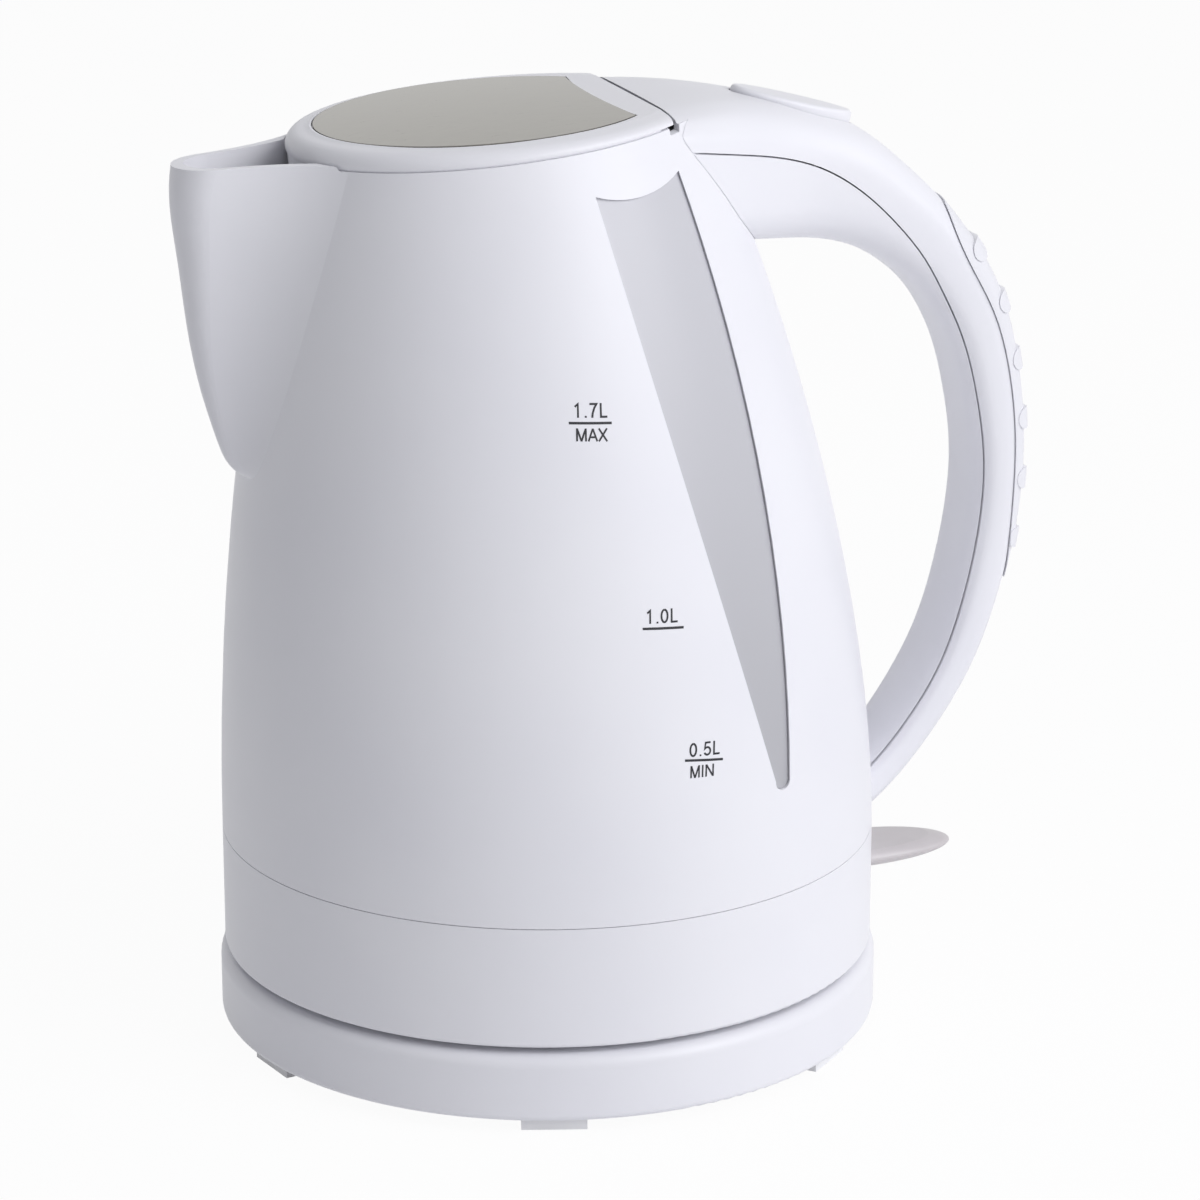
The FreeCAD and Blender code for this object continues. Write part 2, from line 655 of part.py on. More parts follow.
def jug():
    body = jug_solid(0.0)
    beak = beak_solid(0.0)
    lid_room = neck_shape(oval(NECK_LONG_R + RUN_GAP, NECK_SIDE_R + RUN_GAP, 0.0, NECK_SIDE_R))
    rim = Part.makeBox(2 * BAND_R, 2 * BAND_R, BAND_R, Vector(-BAND_R, -BAND_R, 0))
    rim_z = NECK_Z - NECK_LONG_R * math.sin(math.radians(NECK_TILT)) + BEAK_RIM_RISE
    rim = placed(rim, Placement(Vector(NECK_X - NECK_LONG_R, 0, rim_z),
                                Rotation(Vector(0, 1, 0), -BEAK_RIM_TILT)))
    body = body.fuse(beak.cut(lid_room).cut(rim))
    hollow = jug_solid(JUG_WALL, *HOLLOW_S)
    body = body.cut(hollow).cut(beak_solid(BEAK_WALL))
    body = body.cut(disc(2 * BAND_R, 0, SEAM_Z + BODY_SEAM / 2))
    body = body.fuse(ring(BAND_R - JUG_WALL / 2, LEDGE_R_IN, LEDGE_Z, LEDGE_TOP_Z))
    body = body.fuse(ring(BAND_IN_R - SEAT_GAP, SKIRT_R_IN, SKIRT_LOW_Z, LEDGE_TOP_Z))
    screws = []
    housing = disc(BAND_R, KETTLE_Z, SEAM_Z - BODY_SEAM / 2)
    housing = rounded(housing, KETTLE_Z, BAND_EDGE)
    housing = housing.cut(disc(BAND_IN_R, FLOOR_TOP_Z, SEAM_Z + PAST))
    housing = housing.cut(disc(SOCKET_R + RUN_GAP, KETTLE_Z - PAST, SEAM_Z))
    for degrees in JUG_SCREW_DEGS:
        x, y = polar(JUG_SCREW_R, degrees)[:2]
        body = body.fuse(disc(BOSS_R, JUG_BOSS_LOW_Z, LEDGE_Z + SEAT_GAP, x, y))
        body = body.cut(disc(SCREW_R, JUG_BOSS_LOW_Z - PAST, LEDGE_Z - PAST, x, y))
        housing = housing.fuse(disc(BOSS_R, FLOOR_TOP_Z, JUG_BOSS_LOW_Z - SEAT_GAP, x, y))
        housing = housing.cut(disc(SCREW_HEAD_R + SEAT_GAP, KETTLE_Z - PAST, SCREW_SEAT_Z, x, y))
        housing = housing.cut(disc(SCREW_R, SCREW_SEAT_Z, JUG_BOSS_LOW_Z + PAST, x, y))
        screws.append(screw(x, y, SCREW_SEAT_Z, LEDGE_Z - PAST - SCREW_SEAT_Z - SCREW_TIP_GAP))
    drop = (BAND_R - SWITCH_X) * math.tan(math.radians(SWITCH_TRAVEL_DEG))
    slot_z = (SWITCH_Z - PADDLE_T / 2 - drop - RUN_GAP, SWITCH_Z + PADDLE_T / 2 + RUN_GAP)
    slot_half = PADDLE_HALF + RUN_GAP
    housing = housing.cut(block((SWITCH_X, 2 * BAND_R), (-slot_half, slot_half), slot_z))
    body = body.cut(hinge_notch()).cut(latch_slot())
    glass_under = JUG_WALL + SEAT_GAP
    core = jug_solid(WINDOW_RECESS).cut(jug_solid(glass_under + WINDOW_LAP_T))
    lap = jug_solid(glass_under).cut(jug_solid(glass_under + WINDOW_LAP_T))
    for name, side in (("window_near", -1), ("window_far", 1)):
        body = body.cut(window_prism(0.0, side))
        pane = core.common(window_prism(-SEAT_GAP, side))
        save(name, pane.fuse(lap.common(window_prism(WINDOW_LAP, side))))
    save("jug_body", body)
    save("bottom_housing", housing)
    save("housing_screws", *screws)


def steam_path(radius):
    top = Vector(TUBE_TOP_X, TUBE_Y, DECK_TOP_Z)
    foot = Vector(TUBE_FOOT_X, TUBE_Y, TUBE_FOOT_Z)
    return rod(radius, foot, top)


def heating():
    hole = steam_path(TUBE_R + SEAT_GAP)
    seal = ring(HEAT_PLATE_R, LEDGE_R_IN + SEAL_SETBACK, LEDGE_TOP_Z, SEAL_TOP_Z)
    plate = disc(HEAT_PLATE_R, SEAL_TOP_Z, WATER_FLOOR_Z).cut(hole)
    spreader = disc(SPREADER_R, SPREADER_LOW_Z, SEAL_TOP_Z)
    element_z = SPREADER_LOW_Z - ELEMENT_TUBE_R
    section = Part.Face(Part.Wire(Part.makeCircle(ELEMENT_TUBE_R, Vector(ELEMENT_R, 0, element_z),
                                                  Vector(0, 1, 0))))
    element = section.revolve(Vector(0, 0, 0), Vector(0, 0, 1), ELEMENT_SWEEP_DEG)
    element.rotate(Vector(0, 0, 0), Vector(0, 0, 1), (360.0 - ELEMENT_SWEEP_DEG) / 2)
    control = disc(CONTROL_R, CONTROL_LOW_Z, CONTROL_TOP_Z)
    ear_half = SWITCH_HALF + RUN_GAP + SWITCH_EAR_T
    arm_end = SWITCH_X - SWITCH_EAR_HALF_X
    control = control.fuse(block((0.0, arm_end), (-ear_half, ear_half), (ARM_LOW_Z, CONTROL_TOP_Z)))
    nuts = []
    for side in (-1, 1):
        y_range = sorted((side * (SWITCH_HALF + RUN_GAP), side * ear_half))
        control = control.fuse(block((arm_end - EAR_T, SWITCH_X + SWITCH_EAR_HALF_X), y_range,
                                     (SWITCH_Z - SWITCH_HUB_R, CONTROL_TOP_Z)))
        wing = sorted((0.0, side * (STUD_Y + NUT_R)))
        control = control.fuse(block((-NUT_R, NUT_R), wing, (CONTROL_TOP_Z - EAR_T, CONTROL_TOP_Z)))
        y = side * STUD_Y
        control = control.cut(disc(STUD_R + SEAT_GAP, 0, CONTROL_TOP_Z + PAST, 0.0, y))
        spreader = spreader.fuse(disc(STUD_R, STUD_LOW_Z, SPREADER_LOW_Z + SEAT_GAP, 0.0, y))
        nut_top = CONTROL_TOP_Z - EAR_T
        nuts.append(ring(NUT_R, STUD_R, nut_top - NUT_T, nut_top, 0.0, y))
    control = control.cut(across(SWITCH_PIN_R, SWITCH_X, SWITCH_Z, ear_half + PAST))
    discs = [disc(OVERHEAT_R, CONTROL_TOP_Z, CONTROL_TOP_Z + DISC_T, x, y) for x, y in OVERHEAT_AT]
    save("plate_seal", seal)
    save("heating_plate", plate)
    save("heat_spreader", spreader)
    save("heating_element", element)
    save("control_housing", control)
    save("control_nuts", *nuts)
    save("overheat_discs", *discs)
    steam_x = SWITCH_X - STEAM_DISC_BACK
    save("steam_disc", disc(STEAM_DISC_R, CONTROL_TOP_Z, CONTROL_TOP_Z + DISC_T, steam_x))
    save("steam_tube", steam_path(TUBE_R).cut(steam_path(TUBE_BORE_R)))
    save("switch_pin", across(SWITCH_PIN_R, SWITCH_X, SWITCH_Z, ear_half))


def switch():
    half_t = PADDLE_T / 2
    stretch = FreeCAD.Matrix()
    stretch.scale(PADDLE_REACH, PADDLE_HALF, PADDLE_DOME)
    tongue = Part.makeSphere(1.0).transformGeometry(stretch)
    tongue.translate(Vector(PADDLE_X, 0, SWITCH_Z))
    tongue_z = (SWITCH_Z - half_t, SWITCH_Z + half_t)
    tongue = tongue.common(block((PADDLE_X, 2 * BAND_R), (-BAND_R, BAND_R), tongue_z))
    arm_z = (SWITCH_Z - SWITCH_ARM_T / 2, SWITCH_Z + SWITCH_ARM_T / 2)
    arm = block((SWITCH_X, PADDLE_X + PADDLE_ROOT), (-SWITCH_HALF, SWITCH_HALF), arm_z)
    lever = tongue.fuse(arm).fuse(across(SWITCH_HUB_R, SWITCH_X, SWITCH_Z, SWITCH_HALF))
    lever = lever.cut(across(SWITCH_PIN_R + PIN_PLAY, SWITCH_X, SWITCH_Z, SWITCH_HALF + PAST))
    save("switch_lever", lever)


def lid_plane(w, fall):
    return Placement(Vector(LID_TOP_U, 0, w), Rotation(Vector(0, 1, 0), fall))


def steel_blank(grow, height):
    """Outline of the steel inlay: an oval with a shallow arc cut from its rear."""
    blank = oval(STEEL_LONG_R + grow, STEEL_SIDE_R + grow, -STEEL_T, height, STEEL_U - LID_TOP_U)
    arc_u = STEEL_REAR_U - LID_TOP_U + STEEL_ARC_R
    blank = blank.cut(disc(STEEL_ARC_R - grow, -STEEL_T - PAST, height + PAST, arc_u))
    return placed(blank, lid_plane(LID_TOP_W, LID_TOP_FALL))


def lid():
    far = 2 * NECK_LONG_R
    rings = []
    for inset, w in LID_RINGS:
        edge = Part.Ellipse(Vector(-LID_TOP_U, 0, 0), NECK_LONG_R - inset, NECK_SIDE_R - inset).toShape()
        fall = LID_TOP_FALL * (w - LID_RISE) / (LID_TOP_W - LID_RISE)
        rings.append(placed(Part.Wire(edge), lid_plane(w, fall)))
    shell = Part.makeLoft(rings, True)
    shell = shell.cut(block((LID_REAR_U, far), (-far, far), (-far, far)))
    shell = shell.cut(steel_blank(STEEL_RIM, far))
    hollow = oval(NECK_LONG_R - LID_HOLLOW, NECK_SIDE_R - LID_HOLLOW, -PAST, LID_HOLLOW_W)
    shell = shell.cut(hollow.cut(block((LID_HOLLOW_REAR_U, far), (-far, far), (-far, far))))
    for side in (-1, 1):
        v_range = sorted(side * v for v in KNUCKLE_V)
        shell = shell.fuse(rod(KNUCKLE_R, Vector(HINGE_U, v_range[0], HINGE_W),
                               Vector(HINGE_U, v_range[1], HINGE_W)))
        v_range = sorted((side * (HINGE_EAR_V[0] - RUN_GAP), side * (HINGE_PIN_HALF + RUN_GAP)))
        room = HINGE_EAR_R + RUN_GAP
        shell = shell.cut(block((HINGE_U - room, far), v_range, (-far, HINGE_W + room)))
    shell = shell.fuse(block(LUG_U, (-LUG_HALF, LUG_HALF), (LUG_LOW_W, LID_RISE + LUG_ROOT)))
    shell = shell.cut(across(HINGE_PIN_R + PIN_PLAY, HINGE_U, HINGE_W, far))
    dome_r = (STEEL_LONG_R ** 2 + STEEL_DOME ** 2) / (2 * STEEL_DOME)
    dome = Part.makeSphere(dome_r, Vector(STEEL_U - LID_TOP_U, 0, STEEL_DOME - dome_r))
    steel = steel_blank(0.0, far).common(placed(dome, lid_plane(LID_TOP_W, LID_TOP_FALL)))
    plug_long, plug_side = NECK_LONG_R - JUG_WALL - PLUG_SIDE, NECK_SIDE_R - JUG_WALL - PLUG_SIDE
    plug_end = block((PLUG_REAR_U, far), (-far, far), (-far, far))
    hollow_end = block((PLUG_REAR_U - PLUG_WALL, far), (-far, far), (-far, far))
    plug = oval(plug_long, plug_side, PLUG_LOW_W, LID_RISE)
    top = oval(NECK_LONG_R - LID_HOLLOW - SEAT_GAP, NECK_SIDE_R - LID_HOLLOW - SEAT_GAP, -PAST, LID_HOLLOW_W)
    top = top.cut(block((LID_HOLLOW_REAR_U - SEAT_GAP, far), (-far, far), (-far, far)))
    plug = plug.fuse(top).cut(plug_end)
    inside = oval(plug_long - PLUG_WALL, plug_side - PLUG_WALL, PLUG_LOW_W + PLUG_WALL, LID_RISE - PLUG_WALL)
    plug = plug.cut(inside.cut(hollow_end))
    seal = oval(plug_long + SEAL_PROUD, plug_side + SEAL_PROUD, SEAL_TOP_W - SEAL_HEIGHT, SEAL_TOP_W)
    seal = seal.cut(oval(plug_long, plug_side, -far, far)).cut(plug_end)
    save("lid_shell", neck_shape(shell))
    save("lid_plate", neck_shape(steel))
    save("lid_inner", neck_shape(plug))
    save("lid_seal", neck_shape(seal))


def hinge():
    deck = jug_solid(JUG_WALL + WINDOW_LAP_T + 2 * SEAT_GAP, *HOLLOW_S)
    deck = deck.common(block((DECK_X, BAND_R), (-BAND_R, BAND_R), (DECK_LOW_Z, DECK_TOP_Z)))
    deck = deck.cut(steam_path(TUBE_R + SEAT_GAP))
    axis = NECK.multVec(Vector(HINGE_U, 0, HINGE_W))
    springs = []
    for side in (-1, 1):
        v_range = sorted(side * v for v in HINGE_EAR_V)
        deck = deck.fuse(rod(HINGE_EAR_R, Vector(axis.x, v_range[0], axis.z),
                             Vector(axis.x, v_range[1], axis.z)))
        deck = deck.fuse(block((axis.x - HINGE_EAR_R, axis.x + HINGE_EAR_R), v_range,
                               (DECK_LOW_Z, axis.z)))
        spring = coil(LID_SPRING_R, LID_SPRING_PITCH, LID_SPRING_V[1] - LID_SPRING_V[0], LID_SPRING_WIRE)
        spring.rotate(Vector(0, 0, 0), Vector(1, 0, 0), -90 * side)
        spring.translate(Vector(axis.x, side * LID_SPRING_V[0], axis.z))
        springs.append(spring)
    deck = deck.cut(across(HINGE_PIN_R, axis.x, axis.z, BAND_R))
    save("hinge_bracket", deck)
    save("hinge_pin", across(HINGE_PIN_R, axis.x, axis.z, HINGE_PIN_HALF))
    save("lid_springs", *springs)


def wedge_side(gap):
    """Space in front of the sloping face by which the button pulls the latch back."""
    tilt = math.radians(BUTTON_TILT)
    slope = math.degrees(math.atan2(math.cos(tilt), 1 + math.sin(tilt)))
    size = 4 * LATCH_END_X
    space = Part.makeBox(size, size, size, Vector(-size / 2, -size / 2, gap))
    return placed(space, Placement(Vector(WEDGE_X, 0, LATCH_LOW_Z), Rotation(Vector(0, 1, 0), -slope)))


def handle():
    solid = handle_solid(0.0)
    hollow = handle_solid(HANDLE_WALL)
    front_u = LID_REAR_U + LID_REAR_GAP
    front = neck_shape(block((-BAND_R, front_u), (-BAND_R, BAND_R), (-BAND_R, BAND_R)))
    front = front.fuse(hinge_rod(HINGE_SWEEP_R, BAND_R))
    shell = solid.cut(hollow).cut(front)
    shell = shell.cut(jug_solid(-SEAT_GAP, HOUSING_S))
    seams = [section[4] for section in HANDLE]
    outer = shell.common(handle_side(HANDLE, seams, 0.0))
    inner = shell.cut(handle_side(HANDLE, seams, SEAM_GAP))
    sections = HANDLE[GRIP_FIRST:GRIP_LAST + 1]
    outer = outer.cut(handle_side(sections, GRIP_SHARES, GRIP_GROOVE).cut(handle_solid(GRIP_T)))
    back = spline([Vector(s[0][0], 0, s[0][1]) for s in sections])
    ends = [between(sections[0], sections[1], GRIP_END), between(sections[-1], sections[-2], GRIP_END)]
    grip_zone = handle_side([ends[0], *sections[1:-1], ends[1]], GRIP_SHARES, 0.0)
    grip = handle_solid(-GRIP_PROUD).common(grip_zone)
    rib_rise = GRIP_PROUD + RIB_PROUD
    crest = skin([handle_row(section, -rib_rise, -GRIP_PROUD) for section in HANDLE])
    for i in range(RIB_COUNT):
        at = back.getParameterByLength(RIB_START + i * RIB_PITCH)
        point, along = back.valueAt(at), back.tangentAt(at)
        centre = point + Vector(along.z, 0, -along.x) * (RIB_R - rib_rise)
        rib = across(RIB_R, centre.x, centre.z, HANDLE_HALF_MAX)
        grip = grip.fuse(rib.common(crest).common(grip_zone))
    grip = grip.cut(handle_solid(GRIP_T - SEAT_GAP))
    hole = oval(BUTTON_LONG_R + RUN_GAP, BUTTON_SIDE_R + RUN_GAP, -BUTTON_H, PAST)
    outer = outer.cut(placed(hole, BUTTON))
    guide = block((GUIDE_X, GUIDE_X + GUIDE_T), (-GUIDE_HALF, GUIDE_HALF), (0.0, LATCH_LOW_Z - RUN_GAP))
    spring_top = -BUTTON_H - BUTTON_FLANGE_T
    post_top = spring_top - BUTTON_SPRING_LENGTH
    post = disc(SPRING_POST_R, post_top - SPRING_POST_LENGTH, post_top, BUTTON_SPRING_AT)
    inner = inner.fuse(guide.fuse(placed(post, BUTTON)).common(handle_solid(HANDLE_WALL / 2)))
    spring = coil(BUTTON_SPRING_R, BUTTON_SPRING_PITCH, BUTTON_SPRING_LENGTH - 2 * SPRING_WIRE, SPRING_WIRE)
    spring.translate(Vector(BUTTON_SPRING_AT, 0, post_top + SPRING_WIRE))
    save("handle_outer", outer)
    save("handle_inner", inner)
    save("handle_grip", grip)
    save("button_spring", placed(spring, BUTTON))


def catch():
    cap = oval(BUTTON_LONG_R, BUTTON_SIDE_R, -BUTTON_H, 0.0)
    cap = rounded(cap, 0.0, BUTTON_EDGE)
    flange_low = -BUTTON_H - BUTTON_FLANGE_T
    cap = cap.fuse(oval(BUTTON_LONG_R + BUTTON_FLANGE, BUTTON_SIDE_R + BUTTON_FLANGE, flange_low, -BUTTON_H))
    stem = block((STEM_FRONT_X, LATCH_END_X), (-STEM_HALF, STEM_HALF), (STEM_LOW_Z, BUTTON_Z - BUTTON_H))
    stem = stem.common(wedge_side(WEDGE_GAP))
    stem = stem.common(placed(oval(BUTTON_LONG_R, BUTTON_SIDE_R, 2 * flange_low - PAST, 0.0), BUTTON))
    latch = block((LATCH_NOSE_X, LATCH_END_X), (-LATCH_HALF, LATCH_HALF), (LATCH_LOW_Z, LATCH_TOP_Z))
    slot_half = STEM_HALF + RUN_GAP
    slot = block((STEM_FRONT_X - LATCH_TRAVEL - PAST, LATCH_END_X), (-slot_half, slot_half), (0.0, BUTTON_Z))
    latch = latch.cut(slot.common(wedge_side(0.0)))
    save("lid_button", placed(cap, BUTTON).fuse(stem))
    save("latch_slider", latch)


def filter_insert():
    panel = jug_solid(FILTER_FRONT).cut(jug_solid(FILTER_FRONT + FILTER_T))
    frame = panel.common(block((-2 * BAND_R, NECK_X), (-FILTER_HALF, FILTER_HALF),
                               (FILTER_LOW_Z, FILTER_TOP_Z)))
    middle_z = (FILTER_LOW_Z + FILTER_TOP_Z) / 2
    opening_half = FILTER_HALF - FILTER_BORDER
    opening_z = (FILTER_LOW_Z + FILTER_BORDER, FILTER_TOP_Z - FILTER_BORDER)
    opening = block((-2 * BAND_R, NECK_X), (-opening_half, opening_half), opening_z)
    bars = block((-2 * BAND_R, NECK_X), (-FILTER_BAR / 2, FILTER_BAR / 2), opening_z)
    bars = bars.fuse(block((-2 * BAND_R, NECK_X), (-opening_half, opening_half),
                           (middle_z - FILTER_BAR / 2, middle_z + FILTER_BAR / 2)))
    cells = opening.cut(bars)
    mesh_front = FILTER_FRONT + (FILTER_T - MESH_T) / 2
    mesh = jug_solid(mesh_front).cut(jug_solid(mesh_front + MESH_T)).common(cells)
    save("filter_frame", frame.cut(cells))
    save("filter_mesh", mesh)


power_base()
connectors()
jug()
heating()
switch()
lid()
hinge()
handle()
catch()
filter_insert()
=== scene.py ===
import math

import bmesh
import bpy
from mathutils import Euler, Matrix, Vector
from mathutils.bvhtree import BVHTree


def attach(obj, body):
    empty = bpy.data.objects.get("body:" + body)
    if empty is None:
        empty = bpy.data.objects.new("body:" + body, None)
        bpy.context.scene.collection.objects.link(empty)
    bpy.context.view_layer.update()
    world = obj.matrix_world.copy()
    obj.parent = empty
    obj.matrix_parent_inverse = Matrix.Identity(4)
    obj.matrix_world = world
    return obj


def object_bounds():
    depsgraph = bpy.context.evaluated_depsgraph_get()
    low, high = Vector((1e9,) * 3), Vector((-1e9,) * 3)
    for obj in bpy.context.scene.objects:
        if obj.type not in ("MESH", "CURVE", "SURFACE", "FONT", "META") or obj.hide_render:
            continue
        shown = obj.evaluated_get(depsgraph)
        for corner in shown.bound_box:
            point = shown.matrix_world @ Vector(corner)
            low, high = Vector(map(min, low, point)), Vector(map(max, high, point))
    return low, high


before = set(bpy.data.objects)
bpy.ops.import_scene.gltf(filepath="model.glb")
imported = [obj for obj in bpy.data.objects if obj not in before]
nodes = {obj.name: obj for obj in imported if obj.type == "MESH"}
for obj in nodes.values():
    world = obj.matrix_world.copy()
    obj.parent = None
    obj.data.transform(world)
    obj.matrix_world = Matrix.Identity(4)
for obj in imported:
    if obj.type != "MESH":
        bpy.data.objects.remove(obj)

MM = 0.001
MIX_A, MIX_B, MIX_COLOUR = 6, 7, 2    # colour sockets of the mix node
WAVE_PERIOD = 2 * math.pi / 20        # period of the wave texture at a scale of one
PLASTIC_IOR = 1.49
FROST_MM, FROST_DEPTH_MM = 0.8, 0.02
THREAD_DEPTH_MM = 0.2

# Level marks: words with their height and centre, and lines from end to end, as x and z in millimetres
MARK_SLOPE_DEG = -3.6
MARK_PROUD_MM = 0.04
MARK_FROM_Y = -0.2
MARK_WORDS = (("1.7L", 3.1, (-9.3, 164.1)), ("MAX", 2.75, (-9.4, 158.9)), ("1.0L", 3.1, (3.9, 118.6)),
              ("0.5L", 3.1, (12.9, 87.8)), ("MIN", 2.75, (12.1, 82.9)))
MARK_LINES = (("line_1_7", (-14.3, 161.7), (-4.6, 161.1)), ("line_1_0", (-0.8, 116.3), (9.1, 115.5)),
              ("line_0_5", (7.9, 85.9), (17.5, 84.7)))
LINE_WIDTH_MM = 0.55
LINE_CUTS = 7
PEN = 0.145    # width of a pen stroke in heights of a capital

# Edge of the lid, in the frame of the jug's sloping neck
NECK = Matrix.Translation(Vector((-12.5, 0, 216.8)) * MM) @ Matrix.Rotation(math.radians(-5.6), 4, "Y")
LIP_LONG_R, LIP_SIDE_R = 47.4, 42.4
LIP_WIDTH = 1.2
LIP_STEPS = 160

FLOOR_HALF = 6.0
FLOOR_DROP = 0.0002
CAMERA_PLACE = (-0.3090, -0.9511, 0.4081)
CAMERA_TURN_DEG = (73.0, 0.0, -18.72)
CAMERA_LENS, CAMERA_SENSOR = 132.84, 36.0

cad_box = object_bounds()
scene = bpy.context.scene


def linear(hex_colour):
    channels = []
    for i in (1, 3, 5):
        value = int(hex_colour[i:i + 2], 16) / 255
        channels.append(value / 12.92 if value <= 0.04045 else ((value + 0.055) / 1.055) ** 2.4)
    return (*channels, 1.0)


def add(tree, kind, settings=None, inputs=None, links=None):
    """Adds a node: settings are its properties, inputs its socket values, links its incoming sockets."""
    node = tree.nodes.new(kind)
    for name, value in (settings or {}).items():
        setattr(node, name, value)
    for name, value in (inputs or {}).items():
        node.inputs[name].default_value = value
    for name, socket in (links or {}).items():
        tree.links.new(socket, node.inputs[name])
    return node


def new_material(name):
    material = bpy.data.materials.new(name)
    material.use_nodes = True
    tree = material.node_tree
    shader = tree.nodes["Principled BSDF"]
    place = add(tree, "ShaderNodeTexCoord").outputs["Object"]
    return material, tree, shader, place


def moulded_plastic(name, dark, light, roughness, mottle_mm, grain_mm, depth_mm):
    """Injection-moulded plastic: an even body colour with a faint cloud in it, and a fine
    mould texture that softens its highlights."""
    material, tree, shader, place = new_material(name)
    cloud = add(tree, "ShaderNodeTexNoise", inputs={"Scale": 1 / (mottle_mm * MM), "Detail": 2.0},
                links={"Vector": place})
    share = add(tree, "ShaderNodeMapRange", inputs={"From Min": 0.35, "From Max": 0.65},
                links={"Value": cloud.outputs["Fac"]})
    colour = add(tree, "ShaderNodeMix", {"data_type": "RGBA"}, {MIX_A: linear(dark), MIX_B: linear(light)},
                 {"Factor": share.outputs["Result"]})
    tree.links.new(colour.outputs[MIX_COLOUR], shader.inputs["Base Color"])
    grain = add(tree, "ShaderNodeTexNoise", inputs={"Scale": 1 / (grain_mm * MM), "Detail": 3.0},
                links={"Vector": place})
    bump = add(tree, "ShaderNodeBump", inputs={"Strength": 0.25, "Distance": depth_mm * MM},
               links={"Height": grain.outputs["Fac"]})
    tree.links.new(bump.outputs["Normal"], shader.inputs["Normal"])
    sheen = add(tree, "ShaderNodeMapRange", inputs={"To Min": roughness - 0.04, "To Max": roughness + 0.04},
                links={"Value": grain.outputs["Fac"]})
    tree.links.new(sheen.outputs["Result"], shader.inputs["Roughness"])
    shader.inputs["IOR"].default_value = PLASTIC_IOR
    return material


def frosted_plastic(name, low, high, painted_shade_heights_mm, roughness):
    """Frosted translucent plastic with painted shade: its colour turns greyer towards its foot, painted in where less
    light comes through from behind.
    """
    material, tree, shader, place = new_material(name)
    # Painted shade: the colour ramps with height from the darker foot colour up to the lighter top colour
    height = add(tree, "ShaderNodeSeparateXYZ", links={"Vector": place})
    low_z, high_z = (z * MM for z in painted_shade_heights_mm)
    painted_foot_shade = add(tree, "ShaderNodeMapRange", inputs={"From Min": low_z, "From Max": high_z},
                links={"Value": height.outputs["Z"]})
    colour = add(tree, "ShaderNodeMix", {"data_type": "RGBA"}, {MIX_A: linear(low), MIX_B: linear(high)},
                 {"Factor": painted_foot_shade.outputs["Result"]})
    tree.links.new(colour.outputs[MIX_COLOUR], shader.inputs["Base Color"])
    frost = add(tree, "ShaderNodeTexNoise", inputs={"Scale": 1 / (FROST_MM * MM), "Detail": 3.0},
                links={"Vector": place})
    bump = add(tree, "ShaderNodeBump", inputs={"Strength": 0.25, "Distance": FROST_DEPTH_MM * MM},
               links={"Height": frost.outputs["Fac"]})
    tree.links.new(bump.outputs["Normal"], shader.inputs["Normal"])
    gloss = add(tree, "ShaderNodeMapRange", inputs={"To Min": roughness - 0.05, "To Max": roughness + 0.05},
                links={"Value": frost.outputs["Fac"]})
    tree.links.new(gloss.outputs["Result"], shader.inputs["Roughness"])
    shader.inputs["IOR"].default_value = PLASTIC_IOR
    return material


def woven_gauze(name, gap, thread, pitch_mm):
    """Square gauze: threads that run across and up, three times as coarse as real ones so that they show."""
    material, tree, shader, place = new_material(name)
    threads = [add(tree, "ShaderNodeTexWave", {"bands_direction": way}, {"Scale": WAVE_PERIOD / (pitch_mm * MM)},
                   {"Vector": place}) for way in ("Y", "Z")]
    both = add(tree, "ShaderNodeMath", {"operation": "MAXIMUM"},
               links={0: threads[0].outputs["Fac"], 1: threads[1].outputs["Fac"]})
    share = add(tree, "ShaderNodeMapRange", inputs={"From Min": 0.45, "From Max": 0.75},
                links={"Value": both.outputs[0]})
    colour = add(tree, "ShaderNodeMix", {"data_type": "RGBA"}, {MIX_A: linear(gap), MIX_B: linear(thread)},
                 {"Factor": share.outputs["Result"]})
    tree.links.new(colour.outputs[MIX_COLOUR], shader.inputs["Base Color"])
    bump = add(tree, "ShaderNodeBump", inputs={"Strength": 0.6, "Distance": THREAD_DEPTH_MM * MM},
               links={"Height": both.outputs[0]})
    tree.links.new(bump.outputs["Normal"], shader.inputs["Normal"])
    shader.inputs["Roughness"].default_value = 0.5
    return material


def brushed_metal(name, dark, light, roughness, line_mm, depth_mm):
    """Sheet metal brushed one way: long fine lines that differ in tone and gloss."""
    material, tree, shader, place = new_material(name)
    stretch = add(tree, "ShaderNodeMapping", inputs={"Scale": (0.02, 1.0, 1.0)}, links={"Vector": place})
    lines = add(tree, "ShaderNodeTexNoise", inputs={"Scale": 1 / (line_mm * MM), "Detail": 4.0},
                links={"Vector": stretch.outputs["Vector"]})
    share = add(tree, "ShaderNodeMapRange", inputs={"From Min": 0.25, "From Max": 0.75},
                links={"Value": lines.outputs["Fac"]})
    colour = add(tree, "ShaderNodeMix", {"data_type": "RGBA"}, {MIX_A: linear(dark), MIX_B: linear(light)},
                 {"Factor": share.outputs["Result"]})
    tree.links.new(colour.outputs[MIX_COLOUR], shader.inputs["Base Color"])
    bump = add(tree, "ShaderNodeBump", inputs={"Strength": 0.3, "Distance": depth_mm * MM},
               links={"Height": lines.outputs["Fac"]})
    tree.links.new(bump.outputs["Normal"], shader.inputs["Normal"])
    gloss = add(tree, "ShaderNodeMapRange", inputs={"To Min": roughness - 0.06, "To Max": roughness + 0.06},
                links={"Value": lines.outputs["Fac"]})
    tree.links.new(gloss.outputs["Result"], shader.inputs["Roughness"])
    shader.inputs["Metallic"].default_value = 1.0
    return material


# White polypropylene, satin and slightly cool, moulded with a faint orange peel
white_polypropylene = moulded_plastic("white_polypropylene", "#EFEFF4", "#F3F3F7", 0.42, 60, 1.6, 0.01)
# Soft white overmould of the grip: the same white with a duller, finer grain
white_overmould = moulded_plastic("white_overmould", "#EBEBEF", "#EFEFF3", 0.5, 40, 0.8, 0.02)
